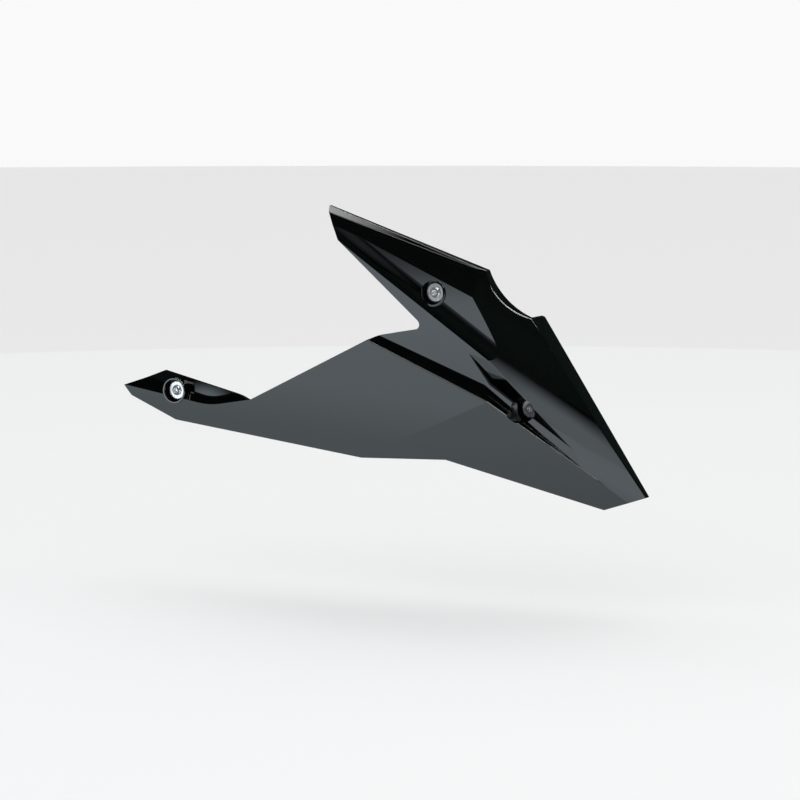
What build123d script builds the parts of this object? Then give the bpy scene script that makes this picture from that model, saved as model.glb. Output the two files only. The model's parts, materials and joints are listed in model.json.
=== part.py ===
from build123d import *
from math import cos, radians, sin, sqrt
import os

# Right-hand side panel of a motorcycle belly pan, with its three rubber-mounted fixings.
# Millimetres. X points forward, Y inboard and Z up. The origin is the face of the upper sleeve that
# bears on the vehicle, on the axis of the upper screw.

# Main sizes, measured from the upper fixing
TAIL_REACH = 395.5
NOSE_REACH = 201.0
NOSE_DROP = 217.0
ARM_RISE = 84.0

# Moulding
WALL = 3.0
FLANGE_DEPTH = 12.0
FLANGE_DRAFT = 0.25
FRONT_FLANGE_DEPTH = 30.0
NOSE_FLANGE_DEPTH = 7.0
CREASE_RADIUS = 1.2

# Corners of the outer faces, each one shared by the faces that meet there
LIP_REAR = Vector(-72.0, -18.0, -51.0)
LIP_KINK = Vector(59.0, -12.5, -106.5)
LIP_NOSE = Vector(151.0, 34.5, -180.0)
FOLD_REAR = Vector(-51.5, 12.0, -154.0)
LEDGE_KINK = Vector(52.0, -3.0, -90.5)
RIDGE_TIP = Vector(-98.5, -32.5, 50.5)
RIDGE_KINK = Vector(59.0, -9.0, -65.5)
RIDGE_NOSE = Vector(134.5, 27.0, -153.5)
BROW_TIP = Vector(-95.0, -29.5, 62.5)
BROW_FRONT = Vector(48.0, -11.5, -5.5)
TOP_TIP = Vector(-107.5, -28.5, 77.0)
TOP_FRONT = Vector(50.5, -2.5, 22.5)
TOP_ROLL_LEAN = 50.0

# Scoop above the ridge, its faces leaning about the ridge and the brow
SCOOP_FLOOR_LEAN = 24.5
SCOOP_WALL_LEAN = -7.7
VALLEY_RADIUS = 32.0

# Slot below the ridge, which starts at a share of the ridge's length, and the strip under the slot
SLOT_START = 0.8
SLOT_REAR = RIDGE_TIP + (RIDGE_KINK - RIDGE_TIP) * SLOT_START
SLOT_CORNER = Vector(56.5, -1.5, -90.5)
SLOT_FLOOR_LEAN = 70.0
SLOT_WALL_LEAN = -40.0
STRIP_LEAN = -8.4

# Rounded front face: a cylinder through both ends of the front ridge
FRONT_RADIUS = 200.0
FRONT_RUN = Vector(0.70, 0.33, -0.63)

# Outline seen from the side, X and Z
ARM_TOP = (-113.0, ARM_RISE)
ARM_TIP = (-98.5, 50.5)
SCALLOP_REAR = (51.0, 23.0)
SCALLOP_FRONT = (93.5, -25.0)
SCALLOP_RADIUS = 68.0
NOSE_TIP = (NOSE_REACH, 15.5 - NOSE_DROP)
NOSE_LOW = (NOSE_REACH - 45.5, -NOSE_DROP)
KEEL_KINK = (-6.0, -173.0)
KEEL_REAR = (-102.0, -177.0)
TAIL_LOW = (61.5 - TAIL_REACH, -153.0)
TAIL_HEEL = (7.5 - TAIL_REACH, -129.5)
TAIL_TIP = (-TAIL_REACH, -118.5)
TAIL_TOP = (45.5 - TAIL_REACH, -101.5)
TAIL_NOTCH = (162.5 - TAIL_REACH, -124.5)
NOTCH_SHOULDER = (-63.0, -45.5)
NOTCH_CORNER = (-9.5, -35.5)
NOTCH_RADIUS = 5.5
SHOULDER_RADIUS = 30.0
HEEL_RADIUS = 12.0

# Tail pocket: a shelf that slopes down to a recessed tab, and an end that runs out at the notch
SHELF_REAR = Vector(-TAIL_REACH, 31.0, -118.5)
SHELF_FRONT = Vector(104.0 - TAIL_REACH, 26.5, -133.5)
POCKET_END = Vector(120.0 - TAIL_REACH, 25.0, -132.0)
POCKET_RUNOUT = Vector(167.0 - TAIL_REACH, 18.0, -123.5)
SHELF_LEAN = 50.0
TAB_LEAN = 8.0
TAB_SWEEP = -5.0
POCKET_RADIUS = 7.0
POCKET_CORNER = 90.0

# Fixings: the point where each sleeve bears, and one stack of sizes for all three
FIXINGS = {
    "upper": Vector(0.0, 0.0, 0.0),
    "lower": Vector(87.5, 38.5, -115.5),
    "rear": Vector(65.0 - TAIL_REACH, 43.5, -121.0),
}
WELL_DIAMETER = 24.0
COLLAR_WALL = 2.0
COLLAR_SKIRT = 2.5
COLLAR_HEIGHT = 10.5
COLLAR_RIM = 0.9
SEAT_THICKNESS = 3.0
GROMMET_NECK = 12.0
GROMMET_FLANGE = 22.0
GROMMET_LIP = 2.0
SLEEVE_DIAMETER = 9.0
SLEEVE_FLANGE = 16.0
SLEEVE_FLANGE_THICKNESS = 1.0
WASHER_DIAMETER = 18.0
WASHER_THICKNESS = 1.6
SCREW_DIAMETER = 6.0
SCREW_SHANK = 5.4
SCREW_CLEARANCE = 0.3
SCREW_POINT = 1.0
SCREW_REACH = 14.0
FIT_CLEARANCE = 0.1
HEAD_DIAMETER = 11.0
HEAD_RIM = 0.6
HEAD_CROWN = 5.6
HEAD_HEIGHT = 3.3
HEAD_BULGE = 0.4
SOCKET_ACROSS_FLATS = 4.0
SOCKET_DEPTH = 2.2

# Blanks stand well clear of the panel, and an edge lies on a face when it is closer than the tolerance
REACH = 600.0
TOLERANCE = 1e-3


def facing(a, b, c):
    """Face through three corners: a corner and the outboard unit normal."""
    normal = (b - a).cross(c - a).normalized()
    return a, normal * -1 if normal.Y > 0 else normal


def leaning(a, b, lean):
    """Face through the line a-b that leans upward by some degrees: a corner and the outboard unit normal."""
    run = (b - a).normalized()
    level = Vector(run.Y, -run.X, 0).normalized()
    level = level * -1 if level.Y > 0 else level
    steep = run.cross(level)
    steep = steep * -1 if steep.Z < 0 else steep
    return a, level * cos(radians(lean)) + steep * sin(radians(lean))


def heading(point, lean, sweep):
    """Face through a point, given by its upward lean and its forward sweep in degrees."""
    level = cos(radians(lean))
    return point, Vector(level * sin(radians(sweep)), -level * cos(radians(sweep)), sin(radians(lean)))


def flat(point):
    """A point of the outline as a vector in the plane Y = 0."""
    return Vector(point[0], 0, point[1])


def edgewise(start, end):
    """Face that stands on a stretch of the outline and looks up or forward."""
    run = flat(end) - flat(start)
    return flat(start), Vector(-run.Z, 0, run.X).normalized()


def seat_depth():
    """Distance from the bearing face out to the floor that a grommet sits in."""
    return SLEEVE_FLANGE_THICKNESS + GROMMET_LIP + SEAT_THICKNESS


FACES = {
    "lower_rear": facing(LIP_REAR, LIP_KINK, FOLD_REAR),
    "lower_front": facing(LIP_KINK, LIP_NOSE, FOLD_REAR),
    "ledge_rear": facing(LIP_REAR, LIP_KINK, LEDGE_KINK),
    "ledge_front": facing(LIP_KINK, LIP_NOSE, LEDGE_KINK),
    "middle": facing(LEDGE_KINK, RIDGE_TIP, RIDGE_KINK),
    "brow": facing(BROW_TIP, BROW_FRONT, TOP_FRONT),
    "roll": leaning(TOP_TIP, TOP_FRONT, TOP_ROLL_LEAN),
    "scoop_floor": leaning(RIDGE_TIP, RIDGE_KINK, SCOOP_FLOOR_LEAN),
    "scoop_wall": leaning(BROW_TIP, BROW_FRONT, SCOOP_WALL_LEAN),
    "strip": leaning(LEDGE_KINK, RIDGE_NOSE, STRIP_LEAN),
    "slot_wall": leaning(RIDGE_KINK, RIDGE_NOSE, SLOT_WALL_LEAN),
    "slot_floor": leaning(SLOT_CORNER, RIDGE_NOSE, SLOT_FLOOR_LEAN),
    "slot_end": leaning(SLOT_REAR, SLOT_CORNER, SLOT_FLOOR_LEAN),
    "shelf": leaning(SHELF_REAR, SHELF_FRONT, SHELF_LEAN),
    "pocket_end": leaning(POCKET_END, POCKET_RUNOUT, SHELF_LEAN),
    "tab": heading(FIXINGS["rear"] - Vector(0, seat_depth(), 0), TAB_LEAN, TAB_SWEEP),
    "top_edge": edgewise(ARM_TOP, SCALLOP_REAR),
    "front_edge": edgewise(SCALLOP_FRONT, NOSE_TIP),
}


def slab(face, sense, inset=0.0):
    """Block on one side of a face moved inward by the inset: sense -1 is behind it and 1 is ahead of it."""
    point, outward = face
    size = 2 * (REACH + inset)
    plane = Plane(origin=point - outward * inset, z_dir=outward * sense)
    return plane * Box(size, size, REACH + inset, align=(Align.CENTER, Align.CENTER, Align.MIN))


def common(sense, inset, *names):
    """Solid on the same side of all of the named faces."""
    solid = None
    for name in names:
        block = slab(FACES[name], sense, inset)
        solid = block if solid is None else solid & block
    return solid


def behind(inset, *names):
    """Solid behind all of the named faces."""
    return common(-1, inset, *names)


def ahead(inset, *names):
    """Cutter ahead of all of the named faces."""
    return common(1, inset, *names)


def off_face(name, inset=0.0):
    """How far a point lies from a named face moved inward by the inset."""
    point, outward = FACES[name]
    return lambda spot: abs((spot - point).dot(outward) + inset)


def off_cylinder(centre, run, radius):
    """How far a point lies from a cylinder."""

    def gap(spot):
        arm = spot - centre
        return abs((arm - run * arm.dot(run)).length - radius)

    return gap


def creases(body, skin, rim=()):
    """Edges of a body between two faces, of which one is in the skin and the other in the skin or the rim."""

    def wanted(edge):
        spot = edge @ 0.5
        on_skin = sum(gap(spot) < TOLERANCE for gap in skin)
        on_rim = sum(gap(spot) < TOLERANCE for gap in rim)
        return on_skin > 0 and on_skin + on_rim == 2

    return body.edges().filter_by(wanted)


def groove(inset, radius, *names):
    """Cutter ahead of all of the named faces, rounded along the lines where two of them meet."""
    cutter = ahead(inset, *names)
    return fillet(creases(cutter, [off_face(name, inset) for name in names]), radius + inset)


def scallop_axis():
    """Axis of the scallop: a point and a direction."""
    half = (flat(SCALLOP_FRONT) - flat(SCALLOP_REAR)) * 0.5
    side = Vector(-half.Z, 0, half.X).normalized()
    return flat(SCALLOP_REAR) + half + side * sqrt(SCALLOP_RADIUS**2 - half.length**2), Vector(0, 1, 0)


def front_axis():
    """Axis of the rounded front face, through both ends of the front ridge: a point and a direction."""
    run = FRONT_RUN.normalized()
    chord = RIDGE_NOSE - RIDGE_KINK
    chord = chord - run * chord.dot(run)
    inward = run.cross(chord).normalized()
    inward = inward * -1 if inward.Y < 0 else inward
    rise = sqrt(FRONT_RADIUS**2 - chord.length**2 / 4)
    return RIDGE_KINK + chord * 0.5 + inward * rise, run


def rod(axis, radius):
    """Long cylinder about an axis."""
    centre, run = axis
    return Plane(origin=centre, z_dir=run) * Cylinder(radius, 2 * REACH)


def on_front(point):
    """Point of the rounded front face that a side view shows at the given X and Z."""
    centre, run = front_axis()
    across = Vector(0, 1, 0) - run * run.Y
    offset = flat(point) - centre
    offset = offset - run * offset.dot(run)
    middle = offset.dot(across) / across.dot(across)
    excess = (offset.dot(offset) - FRONT_RADIUS**2) / across.dot(across)
    return flat(point) - Vector(0, middle + sqrt(middle**2 - excess), 0)


def side_prism(points, rounds=None):
    """Outline in X and Z carried across the whole width, with some of its corners rounded."""
    profile = make_face(Polyline(*[(x, z) for x, z in points], close=True))
    for corner, radius in (rounds or {}).items():
        vertex = profile.vertices().sort_by_distance((corner[0], corner[1], 0))[0]
        profile = fillet(vertex, radius)
    plane = Plane(origin=(0, REACH / 2, 0), x_dir=(1, 0, 0), z_dir=(0, -1, 0))
    return extrude(plane * profile, REACH)


def upper_body(inset):
    """Arm and front: above the ledge, with the scoop above the ridge and the slot below it."""
    body = behind(inset, "middle", "brow", "roll")
    body &= rod(front_axis(), FRONT_RADIUS - inset)
    body -= groove(inset, VALLEY_RADIUS, "scoop_floor", "scoop_wall")
    if not inset:
        body = fillet(creases(body, [off_face("middle"), off_face("scoop_floor")]), CREASE_RADIUS)
    body -= ahead(inset, "strip", "slot_wall")
    body -= ahead(inset, "slot_floor", "slot_end", "slot_wall")
    beyond = LIP_NOSE + (LIP_NOSE - LIP_KINK)
    above_lip = [
        (-REACH, REACH),
        (-REACH, LIP_REAR.Z),
        (LIP_REAR.X, LIP_REAR.Z),
        (LIP_KINK.X, LIP_KINK.Z),
        (beyond.X, beyond.Z),
        (REACH, REACH),
    ]
    return body & side_prism(above_lip)


def tail_pocket(inset):
    """Cutter for the recess over the tail tab."""
    cutter = groove(inset, POCKET_CORNER, "shelf", "pocket_end") & ahead(inset, "tab")
    tab = off_face("tab", inset)

    def on_floor(edge):
        return tab(edge @ 0.5) < TOLERANCE and edge.distance_to(POCKET_END) < POCKET_CORNER

    cutter = fillet(cutter.edges().filter_by(on_floor), POCKET_RADIUS + inset)
    end = POCKET_RUNOUT.X + inset
    return cutter & side_prism([(-REACH, -REACH), (end, -REACH), (end, REACH), (-REACH, REACH)])


def lower_body(inset):
    """Lower panel and the ledge on top of it, with a rounded lip between them."""
    body = behind(inset, "lower_rear", "lower_front", "ledge_rear", "ledge_front")
    if inset:
        return body
    for panel, ledge in (("lower_rear", "ledge_rear"), ("lower_front", "ledge_front")):
        body = fillet(creases(body, [off_face(panel), off_face(ledge)]), CREASE_RADIUS)
    return body


def rounded(body):
    """Body with the creases round its brow, its top, its front and its slot rounded."""
    front = off_cylinder(*front_axis(), FRONT_RADIUS)
    rim = [off_face("top_edge"), off_face("front_edge"), off_cylinder(*scallop_axis(), SCALLOP_RADIUS)]
    brow = creases(body, [off_face("brow"), off_face("roll"), front], rim)
    brow += creases(body, [off_face("brow"), off_face("scoop_wall")])
    body = fillet(brow, CREASE_RADIUS)
    return fillet(creases(body, [front, off_face("slot_wall")]), CREASE_RADIUS)


def form(inset):
    """Filled body, closed along its top and front, its outer faces moved inward by the inset."""
    body = upper_body(inset) + lower_body(inset)
    body -= tail_pocket(inset)
    body &= behind(inset, "top_edge", "front_edge")
    body -= rod(scallop_axis(), SCALLOP_RADIUS + inset)
    return body if inset else rounded(body)


def outline():
    """Trimmed edge of the panel, open along the tail, the keel and the notch."""
    points = [
        ARM_TIP,
        NOTCH_CORNER,
        NOTCH_SHOULDER,
        TAIL_NOTCH,
        TAIL_TOP,
        TAIL_TIP,
        TAIL_HEEL,
        TAIL_LOW,
        KEEL_REAR,
        KEEL_KINK,
        NOSE_LOW,
    ]
    nose = flat(NOSE_TIP) + (flat(NOSE_TIP) - flat(NOSE_LOW))
    tip = flat(ARM_TOP) + (flat(ARM_TOP) - flat(ARM_TIP))
    points += [(nose.X, nose.Z), (nose.X, tip.Z), (tip.X, tip.Z)]
    rounds = {NOTCH_CORNER: NOTCH_RADIUS, NOTCH_SHOULDER: SHOULDER_RADIUS, TAIL_LOW: HEEL_RADIUS}
    return side_prism(points, rounds)


def flange_backs():
    """What lies inboard of the two return flanges."""
    deep = Vector(0, FLANGE_DEPTH, 0)
    top = slab(facing(TOP_TIP + deep, TOP_FRONT + deep, TOP_TIP + deep + Vector(0, FLANGE_DRAFT, -1)), -1)
    low = LIP_REAR.Z
    split = SCALLOP_FRONT[0] - WALL
    top &= side_prism([(-REACH, low), (split, low), (split, REACH), (-REACH, REACH)])
    start = on_front(SCALLOP_FRONT) + Vector(0, FRONT_FLANGE_DEPTH, 0)
    end = on_front(NOSE_TIP) + Vector(0, NOSE_FLANGE_DEPTH, 0)
    run = end - start
    front = slab(facing(start, end, start + Vector(run.Z, 0, -run.X)), -1)
    front &= side_prism([(split, -REACH), (REACH, -REACH), (REACH, REACH), (split, REACH)])
    return top + front


def at_fixing(name):
    """Local frame of a fixing: its Z runs outboard from the bearing face."""
    return Plane(origin=FIXINGS[name], x_dir=(1, 0, 0), z_dir=(0, -1, 0))


def pillar(diameter, low, high):
    """Cylinder between two heights of a fixing's frame."""
    return Pos(0, 0, low) * Cylinder(
        diameter / 2, high - low, align=(Align.CENTER, Align.CENTER, Align.MIN)
    )


def side_panel():
    """The moulded shell with its three fixing wells."""
    filled = form(0)
    shell = (filled - form(WALL)) & outline()
    shell -= flange_backs()
    floor = SLEEVE_FLANGE_THICKNESS + GROMMET_LIP
    seat = seat_depth()
    outer = WELL_DIAMETER + 2 * COLLAR_WALL
    for name in FIXINGS:
        frame = at_fixing(name)
        if name == "lower":
            shell += frame * pillar(outer, floor - COLLAR_SKIRT, REACH) & filled
        else:
            collar = pillar(outer, floor - COLLAR_SKIRT, seat + COLLAR_HEIGHT)
            shell += frame * fillet(collar.edges().sort_by(Axis.Z)[-1], COLLAR_RIM)
        shell -= frame * pillar(WELL_DIAMETER, seat, REACH)
        shell -= frame * pillar(WELL_DIAMETER, -REACH, floor)
        shell -= frame * pillar(GROMMET_NECK + 2 * FIT_CLEARANCE, floor, seat)
    return shell


def screw():
    """Button-head screw with a hexagon socket, in a fixing's frame."""
    under = seat_depth() + GROMMET_LIP + WASHER_THICKNESS
    rim = HEAD_DIAMETER / 2
    crown = HEAD_CROWN / 2
    profile = make_face(
        Polyline((0, 0), (rim, 0), (rim, HEAD_RIM))
        + SagittaArc((rim, HEAD_RIM), (crown, HEAD_HEIGHT), HEAD_BULGE)
        + Polyline((crown, HEAD_HEIGHT), (0, HEAD_HEIGHT), (0, 0))
    )
    head = Pos(0, 0, under) * revolve(Plane.XZ * profile, Axis.Z)
    socket = extrude(RegularPolygon(SOCKET_ACROSS_FLATS / 2, 6, major_radius=False), SOCKET_DEPTH)
    head -= Pos(0, 0, under + HEAD_HEIGHT - SOCKET_DEPTH) * socket
    thread = pillar(SCREW_DIAMETER, -SCREW_REACH, 0)
    thread = chamfer(thread.edges().sort_by(Axis.Z)[0], SCREW_POINT)
    return head + pillar(SCREW_SHANK, 0, under) + thread


def washer():
    """Plain washer under a screw head."""
    low = seat_depth() + GROMMET_LIP
    bore = SCREW_DIAMETER + 2 * SCREW_CLEARANCE
    ring = pillar(WASHER_DIAMETER, low, low + WASHER_THICKNESS)
    return ring - pillar(bore, low, low + WASHER_THICKNESS)


def grommet():
    """Rubber grommet that grips the floor of a well."""
    low = SLEEVE_FLANGE_THICKNESS
    floor = low + GROMMET_LIP
    seat = seat_depth()
    body = pillar(GROMMET_FLANGE, low, floor) + pillar(GROMMET_FLANGE, seat, seat + GROMMET_LIP)
    body += pillar(GROMMET_NECK, floor, seat)
    return body - pillar(SLEEVE_DIAMETER + 2 * FIT_CLEARANCE, low, seat + GROMMET_LIP)


def sleeve():
    """Steel sleeve through a grommet, with the flange that bears on the vehicle."""
    bore = SCREW_DIAMETER + 2 * SCREW_CLEARANCE
    top = seat_depth() + GROMMET_LIP
    body = pillar(SLEEVE_FLANGE, 0, SLEEVE_FLANGE_THICKNESS) + pillar(SLEEVE_DIAMETER, 0, top)
    return body - pillar(bore, 0, top)


nodes = {"side_panel": side_panel()}
for place in FIXINGS:
    frame = at_fixing(place)
    nodes[f"{place}_screw"] = frame * screw()
    nodes[f"{place}_washer"] = frame * washer()
    nodes[f"{place}_grommet"] = frame * grommet()
    nodes[f"{place}_sleeve"] = frame * sleeve()

os.makedirs("parts", exist_ok=True)
for name, node in nodes.items():
    export_step(node, f"parts/{name}.step")
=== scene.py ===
import json
from collections import namedtuple
from math import cos, hypot, pi, radians, sin

import bmesh
import bpy
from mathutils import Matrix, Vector


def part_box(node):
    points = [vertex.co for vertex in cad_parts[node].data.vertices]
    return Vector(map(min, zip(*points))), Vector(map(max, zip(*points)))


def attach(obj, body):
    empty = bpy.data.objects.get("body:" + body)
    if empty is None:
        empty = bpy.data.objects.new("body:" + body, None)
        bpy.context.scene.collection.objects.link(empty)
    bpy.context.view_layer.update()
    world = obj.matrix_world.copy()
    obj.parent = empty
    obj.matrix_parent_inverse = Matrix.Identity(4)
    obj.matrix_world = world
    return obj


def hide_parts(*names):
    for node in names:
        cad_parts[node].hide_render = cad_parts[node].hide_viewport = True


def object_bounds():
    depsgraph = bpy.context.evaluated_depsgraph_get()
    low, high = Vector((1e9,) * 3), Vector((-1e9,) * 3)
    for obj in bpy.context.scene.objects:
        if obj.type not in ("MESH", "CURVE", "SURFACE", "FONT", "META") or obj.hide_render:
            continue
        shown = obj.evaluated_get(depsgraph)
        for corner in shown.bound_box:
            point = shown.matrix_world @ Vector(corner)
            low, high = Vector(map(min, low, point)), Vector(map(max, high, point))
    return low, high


# A softbox: where it stands, in degrees and metres, its size in metres and its strength
Softbox = namedtuple("Softbox", "azimuth elevation distance width height strength")

# A plated finish: how bright its dull spots are beside its colour, that colour, how metallic it is, and its
# low and high roughness
Plating = namedtuple("Plating", "shade tone metal roughness")

# Camera, in degrees and metres: the part's origin lies off the middle of the picture by the aim's offsets
VIEW_AZIMUTH = 28.0
VIEW_ELEVATION = 7.0
VIEW_DISTANCE = 3.1911
AIM_RIGHT = -0.0397
AIM_UP = -0.1081
LENS = 144.0
SENSOR = 36.0

# Studio, in metres
FLOOR_GAP = 0.10
FLOOR_RADIUS = 9.0
FLOOR_COLOUR = (0.9, 0.9, 0.9, 1)
FLOOR_ROUGHNESS = 0.9
DOME_RADIUS = 9.0
DOME_LIGHT = 0.95
DOME_RINGS = 48
ROUND_SEGMENTS = 96

# Colour of the glowing floor card and of the lights with a soft rim
LIGHT_TINT = (0.88, 1.0, 1.08)

# Glowing card on the floor that only the gloss sees in place of the floor, in metres: how far outboard of
# its middle, then how bright it is there. Its dim middle is a painted shadow of the part on the floor.
CARD_RADIUS = 2.4
CARD_CENTRE = (0.0, 0.1)
CARD_LIFT = 0.001
CARD_STEPS = (
    (0.08, 0.71),
    (0.15, 0.83),
    (0.24, 0.89),
    (0.31, 1.14),
    (0.46, 1.22),
    (0.55, 1.33),
    (1.00, 1.27),
    (1.06, 0.92),
    (1.12, 0.52),
    (1.18, 0.32),
    (1.26, 0.22),
    (1.45, 0.16),
    (1.90, 0.06),
)
# Turn that points a gradient outboard, in degrees
OUTBOARD_TURN = 90.0

# What the gloss mirrors above the horizon: height of the direction, then the colour there
SKY_STEPS = (
    (0.0, (0.020, 0.030, 0.028)),
    (0.2, (0.030, 0.046, 0.042)),
    (0.42, (0.014, 0.024, 0.021)),
    (0.55, (0.003, 0.004, 0.004)),
    (1.0, (0.003, 0.004, 0.004)),
)

# Round light above the part, in metres, and how it brightens from its rim to its middle
TOP_PLACE = (-0.22, -0.06, 1.6)
TOP_RADIUS = 0.26
TOP_STRENGTH = 5.5
TOP_FADE = ((0.0, 0.0), (0.6, 1.0))

# Softboxes that face the part's origin
SOFTBOXES = {
    "edge_light": Softbox(5.0, 48.0, 2.5, 1.6, 0.7, 5.2),
    "back_light": Softbox(180.0, 60.0, 2.0, 2.6, 0.5, 13.0),
    "corner_light": Softbox(122.0, 49.0, 2.0, 0.3, 1.2, 13.0),
    "lip_light": Softbox(76.0, 38.0, 2.0, 0.55, 0.6, 13.0),
}

# Lights with a soft rim: the fixing they aim at, how far beside its washer's middle, and the light. The two
# fixing lights stand where a head that faces outboard mirrors them to the camera.
SOFT_LIGHTS = {
    "front_light": ("upper", (0.120, 0.0288, -0.120), Softbox(27.0, -7.5, 1.1, 0.59, 0.37, 1.1)),
    "scoop_light": ("upper", (-0.080, -0.0182, 0.045), Softbox(-8.0, 0.0, 0.3, 0.18, 0.16, 0.16)),
    "pocket_light": ("rear", (0.0345, -0.0007, -0.005), Softbox(-41.0, 6.0, 0.3, 0.065, 0.034, 1.3)),
    "upper_fixing_light": (
        "upper",
        (0.0, 0.0, 0.0),
        Softbox(-VIEW_AZIMUTH, -VIEW_ELEVATION, 1.2, 0.25, 0.20, 1.35),
    ),
    "rear_fixing_light": (
        "rear",
        (0.0, 0.0, 0.0),
        Softbox(-VIEW_AZIMUTH, -VIEW_ELEVATION, 0.4, 0.24, 0.16, 2.5),
    ),
}
# How they brighten from their rim to their middle
SOFT_FADE = ((0.5, 0.0), (0.85, 1.0))

# The band that a noise's values mostly lie in
NOISE_BAND = (0.3, 0.7)

# Panel: low and high values, noises in cycles per metre and reliefs in metres
PANEL_OUTER = ((0.0006, 0.0009, 0.0008), (0.0010, 0.0014, 0.0013))
PANEL_INNER = ((0.009, 0.009, 0.009), (0.015, 0.015, 0.015))
PANEL_POLISH = (0.045, 0.075)
PANEL_MATT = (0.42, 0.60)
PANEL_IOR = 1.76
CLOUD_SCALE = 14.0
MOTTLE_SCALE = 60.0
POLISH_SCALE = 40.0
MATT_SCALE = 500.0
RIPPLE_SCALE = 260.0
RIPPLE_DEPTH = 0.00002
RIPPLE_STRENGTH = 0.12
GRAIN_SCALE = 2600.0
GRAIN_DEPTH = 0.0001
GRAIN_STRENGTH = 0.5
# How far a face looks inboard, then how much of the inner finish it has
INNER_STEPS = ((0.15, 0.0), (0.30, 1.0))

# Steel
FIXING_PLATING = Plating(0.86, (0.80, 0.81, 0.82), 0.70, (0.16, 0.30))
SLEEVE_PLATING = Plating(0.75, (0.62, 0.60, 0.54), 0.60, (0.30, 0.48))
STAIN_SCALE = 300.0
SCRATCH_SCALE = 700.0
SCRATCH_STRETCH = (1.0, 1.0, 0.2)
SCRATCH_DEPTH = 0.00003
SCRATCH_STRENGTH = 0.15

# Rubber
DUST_STEPS = ((0.4, (0.010, 0.010, 0.010)), (0.75, (0.026, 0.025, 0.024)))
RUBBER_ROUGHNESS = (0.55, 0.75)
DUST_SCALE = 220.0
SKIN_SCALE = 900.0
PORE_SCALE = 2400.0
PORE_DEPTH = 0.00005
PORE_STRENGTH = 0.3

# Screws, in metres
PLACES = ("upper", "lower", "rear")
THREAD_LENGTH = 0.014
THREAD_PITCH = 0.001
THREAD_CREST = 0.003
THREAD_ROOT = 0.00239
THREAD_POINT = 0.002
THREAD_SEGMENTS = 40
# Turns that are cut away at each end of the thread
THREAD_SPARE = 2
# One pitch of the thread's outline: how far along it, and whether that is at the crest
THREAD_OUTLINE = ((0.0, False), (0.25, False), (0.56, True), (0.69, True))
SHANK_RADIUS = 0.0027
# How near counts as touching, and how near points are merged
TOUCH = 0.00001
MERGE = 0.000001
# Edges that turn by more than this stay sharp, in degrees
SHARP_ANGLE = 35.0

# Colour sockets of a mixing node, by number
MIX_ONE = 6
MIX_OTHER = 7
MIX_RESULT = 2
# Where a ramp's new step lies until it is placed
NEW_STEP = 0.5

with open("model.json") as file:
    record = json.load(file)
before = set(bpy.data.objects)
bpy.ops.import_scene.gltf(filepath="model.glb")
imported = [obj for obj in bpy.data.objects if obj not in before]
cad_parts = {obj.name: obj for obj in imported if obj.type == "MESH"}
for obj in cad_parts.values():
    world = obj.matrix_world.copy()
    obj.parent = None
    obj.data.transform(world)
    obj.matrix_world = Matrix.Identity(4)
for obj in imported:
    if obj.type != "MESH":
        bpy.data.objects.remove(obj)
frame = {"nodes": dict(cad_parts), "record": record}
cad_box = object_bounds()
nodes = frame["nodes"]
floor_z = cad_box[0].z - FLOOR_GAP


def new_material(name):
    """New node material: the material, its tree and its surface shader."""
    material = bpy.data.materials.new(name)
    material.use_nodes = True
    tree = material.node_tree
    return material, tree, tree.nodes["Principled BSDF"]


def between(low_high):
    """Steps from a low to a high value over the band of a noise."""
    return list(zip(NOISE_BAND, low_high))


def grey(steps):
    """Steps of position and brightness as steps of position and colour."""
    return [(position, (value,) * 3) for position, value in steps]


def tinted(steps):
    """Steps of position and brightness as steps of position and the lights' colour."""
    return [(position, [value * tint for tint in LIGHT_TINT]) for position, value in steps]


def ramp(tree, source, steps):
    """Colour ramp fed by a socket, with steps of position and colour."""
    node = tree.nodes.new("ShaderNodeValToRGB")
    tree.links.new(source, node.inputs["Fac"])
    band = node.color_ramp.elements
    while len(band) < len(steps):
        band.new(NEW_STEP)
    for element, (position, colour) in zip(band, steps):
        element.position = position
        element.color = (*colour, 1)
    return node.outputs["Color"]


def noise(tree, scale, detail=2.0, stretch=(1.0, 1.0, 1.0)):
    """Noise in the part's own coordinates, in cycles per metre."""
    place = tree.nodes.new("ShaderNodeTexCoord")
    shape = tree.nodes.new("ShaderNodeMapping")
    shape.inputs["Scale"].default_value = stretch
    tree.links.new(place.outputs["Object"], shape.inputs["Vector"])
    node = tree.nodes.new("ShaderNodeTexNoise")
    node.inputs["Scale"].default_value = scale
    node.inputs["Detail"].default_value = detail
    tree.links.new(shape.outputs["Vector"], node.inputs["Vector"])
    return node.outputs["Fac"]


def bump(tree, height, distance, strength, below=None):
    """Relief from a height socket, on top of another relief; the strength is a number or a socket."""
    node = tree.nodes.new("ShaderNodeBump")
    node.inputs["Distance"].default_value = distance
    tree.links.new(height, node.inputs["Height"])
    if isinstance(strength, float):
        node.inputs["Strength"].default_value = strength
    else:
        tree.links.new(strength, node.inputs["Strength"])
    if below:
        tree.links.new(below, node.inputs["Normal"])
    return node.outputs["Normal"]


def mixed(tree, share, one, other):
    """Colour that goes from one socket to another by a share."""
    node = tree.nodes.new("ShaderNodeMix")
    node.data_type = "RGBA"
    tree.links.new(share, node.inputs["Factor"])
    tree.links.new(one, node.inputs[MIX_ONE])
    tree.links.new(other, node.inputs[MIX_OTHER])
    return node.outputs[MIX_RESULT]


def inner_side(tree):
    """Mask of the faces that look inboard."""
    place = tree.nodes.new("ShaderNodeTexCoord")
    split = tree.nodes.new("ShaderNodeSeparateXYZ")
    tree.links.new(place.outputs["Normal"], split.inputs["Vector"])
    return ramp(tree, split.outputs["Y"], grey(INNER_STEPS))


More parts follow.
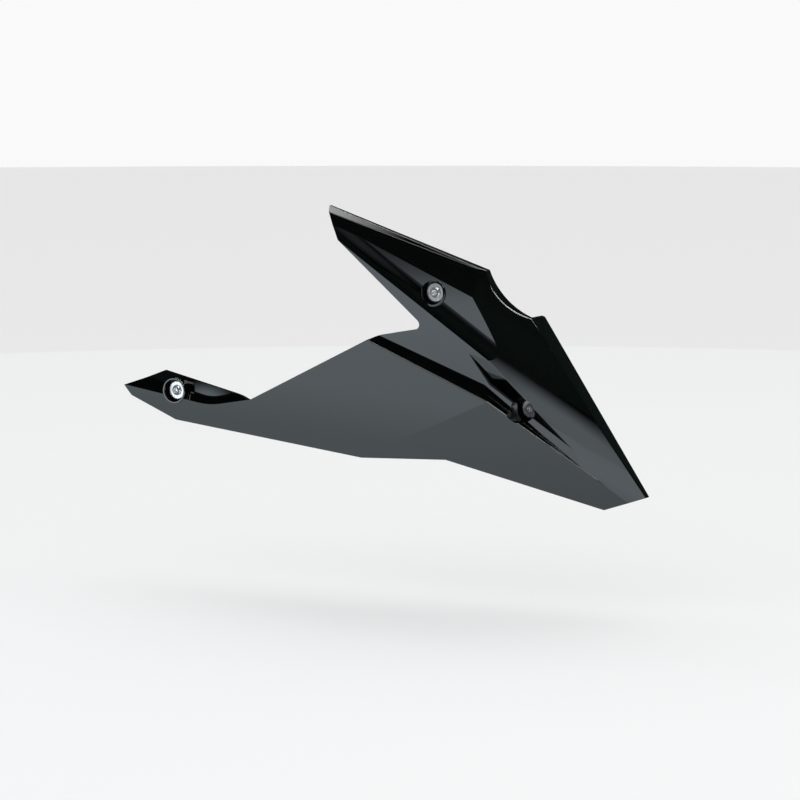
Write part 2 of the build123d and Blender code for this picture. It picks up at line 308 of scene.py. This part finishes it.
def panel_plastic():
    """Moulded plastic: gloss black outside with a faint ripple, matt and finely grained inside."""
    material, tree, shader = new_material("panel_plastic")
    inside = inner_side(tree)
    outer = ramp(tree, noise(tree, CLOUD_SCALE), between(PANEL_OUTER))
    inner = ramp(tree, noise(tree, MOTTLE_SCALE, detail=4.0), between(PANEL_INNER))
    tree.links.new(mixed(tree, inside, outer, inner), shader.inputs["Base Color"])
    polish = ramp(tree, noise(tree, POLISH_SCALE, detail=4.0), grey(between(PANEL_POLISH)))
    matt = ramp(tree, noise(tree, MATT_SCALE, detail=3.0), grey(between(PANEL_MATT)))
    tree.links.new(mixed(tree, inside, polish, matt), shader.inputs["Roughness"])
    ripple = bump(tree, noise(tree, RIPPLE_SCALE, detail=1.0), RIPPLE_DEPTH, RIPPLE_STRENGTH)
    grain_strength = ramp(tree, inside, grey(((0.0, 0.0), (1.0, GRAIN_STRENGTH))))
    relief = bump(tree, noise(tree, GRAIN_SCALE), GRAIN_DEPTH, grain_strength, ripple)
    tree.links.new(relief, shader.inputs["Normal"])
    shader.inputs["IOR"].default_value = PANEL_IOR
    return material


def plated_steel(name, plating):
    """Plated steel with fine scratches and a slightly clouded finish."""
    material, tree, shader = new_material(name)
    dull = [channel * plating.shade for channel in plating.tone]
    colour = ramp(tree, noise(tree, STAIN_SCALE, detail=4.0), between((dull, plating.tone)))
    tree.links.new(colour, shader.inputs["Base Color"])
    scratches = noise(tree, SCRATCH_SCALE, detail=6.0, stretch=SCRATCH_STRETCH)
    tree.links.new(ramp(tree, scratches, grey(between(plating.roughness))), shader.inputs["Roughness"])
    tree.links.new(bump(tree, scratches, SCRATCH_DEPTH, SCRATCH_STRENGTH), shader.inputs["Normal"])
    shader.inputs["Metallic"].default_value = plating.metal
    return material


def rubber():
    """Matt black rubber with a fine skin and a little dust."""
    material, tree, shader = new_material("grommet_rubber")
    dust = ramp(tree, noise(tree, DUST_SCALE, detail=5.0), DUST_STEPS)
    tree.links.new(dust, shader.inputs["Base Color"])
    skin = ramp(tree, noise(tree, SKIN_SCALE), grey(between(RUBBER_ROUGHNESS)))
    tree.links.new(skin, shader.inputs["Roughness"])
    tree.links.new(bump(tree, noise(tree, PORE_SCALE), PORE_DEPTH, PORE_STRENGTH), shader.inputs["Normal"])
    return material


finishes = {
    "panel_plastic": panel_plastic(),
    "fixing_steel": plated_steel("fixing_steel", FIXING_PLATING),
    "sleeve_steel": plated_steel("sleeve_steel", SLEEVE_PLATING),
    "grommet_rubber": rubber(),
}
for row in frame["record"]["subparts"]:
    piece = nodes[row["node"]]
    for slot in piece.material_slots:
        slot.material = finishes[row["material_slot"]]


def close_holes(mesh):
    """Caps the open ends of a mesh."""
    bmesh.ops.holes_fill(mesh, edges=[edge for edge in mesh.edges if edge.is_boundary], sides=0)


def thread(axis_x, axis_z, start, end):
    """Mesh of a thread cut on a rod along Y, closed at both ends."""
    mesh = bmesh.new()
    turns = round((end - start) / THREAD_PITCH) + 2 * THREAD_SPARE
    rows = []
    for step in range(turns * THREAD_SEGMENTS):
        turn = step / THREAD_SEGMENTS
        angle = 2 * pi * turn
        row = []
        for share, at_crest in THREAD_OUTLINE:
            y = start + (turn + share - THREAD_SPARE) * THREAD_PITCH
            radius = THREAD_CREST if at_crest else THREAD_ROOT
            radius = min(radius, THREAD_POINT + max(end - y, 0))
            row.append(mesh.verts.new((axis_x + radius * cos(angle), y, axis_z + radius * sin(angle))))
        rows.append(row)
    for step in range(len(rows) - THREAD_SEGMENTS - 1):
        this = rows[step] + [rows[step + THREAD_SEGMENTS][0]]
        after = rows[step + 1] + [rows[step + 1 + THREAD_SEGMENTS][0]]
        for low in range(len(THREAD_OUTLINE)):
            mesh.faces.new((this[low], this[low + 1], after[low + 1], after[low]))
    for y, way in ((start, -1), (end, 1)):
        everything = mesh.verts[:] + mesh.edges[:] + mesh.faces[:]
        bmesh.ops.bisect_plane(
            mesh, geom=everything, dist=MERGE, plane_co=(0, y, 0), plane_no=(0, way, 0), clear_outer=True
        )
    close_holes(mesh)
    bmesh.ops.recalc_face_normals(mesh, faces=mesh.faces[:])
    return mesh


def threaded_screw(place):
    """Screw with a cut thread in the place of the plain one."""
    node = nodes[f"{place}_screw"]
    low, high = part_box(node.name)
    axis_x = (low.x + high.x) / 2
    axis_z = (low.z + high.z) / 2
    start = high.y - THREAD_LENGTH
    mesh = bmesh.new()
    mesh.from_mesh(node.data)
    bmesh.ops.remove_doubles(mesh, verts=mesh.verts[:], dist=MERGE)

    def is_plain(vertex):
        """Whether a vertex belongs to the plain cylinder that the thread replaces."""
        x, y, z = vertex.co
        wide = hypot(x - axis_x, z - axis_z) > SHANK_RADIUS + TOUCH
        return y > start + TOUCH or (wide and y > start - TOUCH)

    bmesh.ops.delete(mesh, geom=[vertex for vertex in mesh.verts if is_plain(vertex)], context="VERTS")
    close_holes(mesh)
    data = bpy.data.meshes.new(f"{place}_threaded_screw")
    cut = bpy.data.meshes.new("thread")
    thread(axis_x, axis_z, start, high.y).to_mesh(cut)
    mesh.from_mesh(cut)
    for face in mesh.faces:
        face.smooth = True
    mesh.to_mesh(data)
    data.set_sharp_from_angle(angle=radians(SHARP_ANGLE))
    data.materials.append(finishes["fixing_steel"])
    piece = bpy.data.objects.new(f"{place}_threaded_screw", data)
    bpy.context.scene.collection.objects.link(piece)
    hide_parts(node.name)
    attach(piece, "root")


for place in PLACES:
    threaded_screw(place)


def emitter(name, strength):
    """Light-giving material: the material, its tree and its shader."""
    material, tree, _ = new_material(name)
    tree.nodes.clear()
    light = tree.nodes.new("ShaderNodeEmission")
    light.inputs["Strength"].default_value = strength
    output = tree.nodes.new("ShaderNodeOutputMaterial")
    tree.links.new(light.outputs["Emission"], output.inputs["Surface"])
    return material, tree, light


def only_mirrored(obj):
    """Keeps an object out of everything but mirror images."""
    obj.visible_camera = False
    obj.visible_diffuse = False
    obj.visible_shadow = False


def backdrop():
    """Pale floor under a pale dome; the gloss doesn't mirror either of them."""
    middle = (0, 0, floor_z)
    bpy.ops.mesh.primitive_circle_add(
        vertices=ROUND_SEGMENTS, radius=FLOOR_RADIUS, fill_type="NGON", location=middle
    )
    floor = bpy.context.object
    floor.name = "floor"
    material, _, shader = new_material("floor")
    shader.inputs["Base Color"].default_value = FLOOR_COLOUR
    shader.inputs["Roughness"].default_value = FLOOR_ROUGHNESS
    floor.data.materials.append(material)
    floor.visible_glossy = False
    bpy.ops.mesh.primitive_uv_sphere_add(
        segments=ROUND_SEGMENTS, ring_count=DOME_RINGS, radius=DOME_RADIUS, location=middle
    )
    dome = bpy.context.object
    dome.name = "dome"
    dome.data.materials.append(emitter("dome", DOME_LIGHT)[0])
    dome.visible_glossy = False


def gradient(tree, kind, turn=0.0):
    """Gradient in an object's own coordinates, turned about Z by some degrees."""
    place = tree.nodes.new("ShaderNodeTexCoord")
    shape = tree.nodes.new("ShaderNodeMapping")
    shape.inputs["Rotation"].default_value = (0, 0, radians(turn))
    tree.links.new(place.outputs["Object"], shape.inputs["Vector"])
    node = tree.nodes.new("ShaderNodeTexGradient")
    node.gradient_type = kind
    tree.links.new(shape.outputs["Vector"], node.inputs["Vector"])
    return node.outputs["Fac"]


def disc(name, location, radius, strength=1.0):
    """Round card that only the gloss sees: its material's tree and its light."""
    bpy.ops.mesh.primitive_circle_add(vertices=ROUND_SEGMENTS, radius=1, fill_type="NGON", location=location)
    card = bpy.context.object
    card.name = name
    card.scale = (radius, radius, 1)
    material, tree, light = emitter(name, strength)
    card.data.materials.append(material)
    only_mirrored(card)
    return tree, light


def floor_card_with_painted_shadow():
    """Glowing card that the gloss sees in place of the floor: dim under the part as a painted shadow,
    brightest some way outboard of it.
    """
    tree, light = disc("card", (*CARD_CENTRE, floor_z + CARD_LIFT), CARD_RADIUS)
    # The dim steps near the card's middle paint the part's shadow on the floor into what the gloss mirrors
    steps = tinted([(out / CARD_RADIUS, value) for out, value in CARD_STEPS])
    tree.links.new(ramp(tree, gradient(tree, "LINEAR", OUTBOARD_TURN), steps), light.inputs["Color"])


def top_light():
    """Soft round light above the part."""
    tree, light = disc("top_light", TOP_PLACE, TOP_RADIUS, TOP_STRENGTH)
    tree.links.new(ramp(tree, gradient(tree, "SPHERICAL"), grey(TOP_FADE)), light.inputs["Color"])


def direction(azimuth, elevation):
    """Unit vector away from the part, from an azimuth and an elevation in degrees."""
    flat = cos(radians(elevation))
    return Vector((sin(radians(azimuth)) * flat, -cos(radians(azimuth)) * flat, sin(radians(elevation))))


def softbox(name, box, target=Vector(), soft=False):
    """Rectangular light, or an oval one with a soft rim, that faces a point of the part."""
    way = direction(box.azimuth, box.elevation)
    bpy.ops.mesh.primitive_plane_add(size=1, location=target + way * box.distance)
    plane = bpy.context.object
    plane.name = name
    plane.scale = (box.width, box.height, 1)
    plane.rotation_mode = "QUATERNION"
    plane.rotation_quaternion = way.to_track_quat("Z", "Y")
    material, tree, light = emitter(name, box.strength)
    if soft:
        tree.links.new(ramp(tree, gradient(tree, "SPHERICAL"), tinted(SOFT_FADE)), light.inputs["Color"])
    plane.data.materials.append(material)
    only_mirrored(plane)


def surroundings():
    """Dark room that the gloss mirrors above the horizon."""
    world = bpy.data.worlds.new("world")
    world.use_nodes = True
    tree = world.node_tree
    place = tree.nodes.new("ShaderNodeTexCoord")
    split = tree.nodes.new("ShaderNodeSeparateXYZ")
    tree.links.new(place.outputs["Generated"], split.inputs["Vector"])
    tree.links.new(ramp(tree, split.outputs["Z"], SKY_STEPS), tree.nodes["Background"].inputs["Color"])
    bpy.context.scene.world = world


def camera():
    """Camera at the photograph's viewing angle."""
    back = direction(VIEW_AZIMUTH, VIEW_ELEVATION)
    right = Vector((cos(radians(VIEW_AZIMUTH)), sin(radians(VIEW_AZIMUTH)), 0))
    up = back.cross(right)
    data = bpy.data.cameras.new("camera")
    data.lens = LENS
    data.sensor_width = SENSOR
    view = bpy.data.objects.new("camera", data)
    view.location = back * VIEW_DISTANCE + right * AIM_RIGHT + up * AIM_UP
    view.rotation_mode = "QUATERNION"
    view.rotation_quaternion = (-back).to_track_quat("-Z", "Y")
    bpy.context.scene.collection.objects.link(view)
    bpy.context.scene.camera = view


backdrop()
floor_card_with_painted_shadow()
top_light()
for name, box in SOFTBOXES.items():
    softbox(name, box)
for name, (place, offset, box) in SOFT_LIGHTS.items():
    low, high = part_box(f"{place}_washer")
    softbox(name, box, (low + high) / 2 + Vector(offset), soft=True)
surroundings()
camera()
bpy.context.scene.view_settings.view_transform = "Standard"
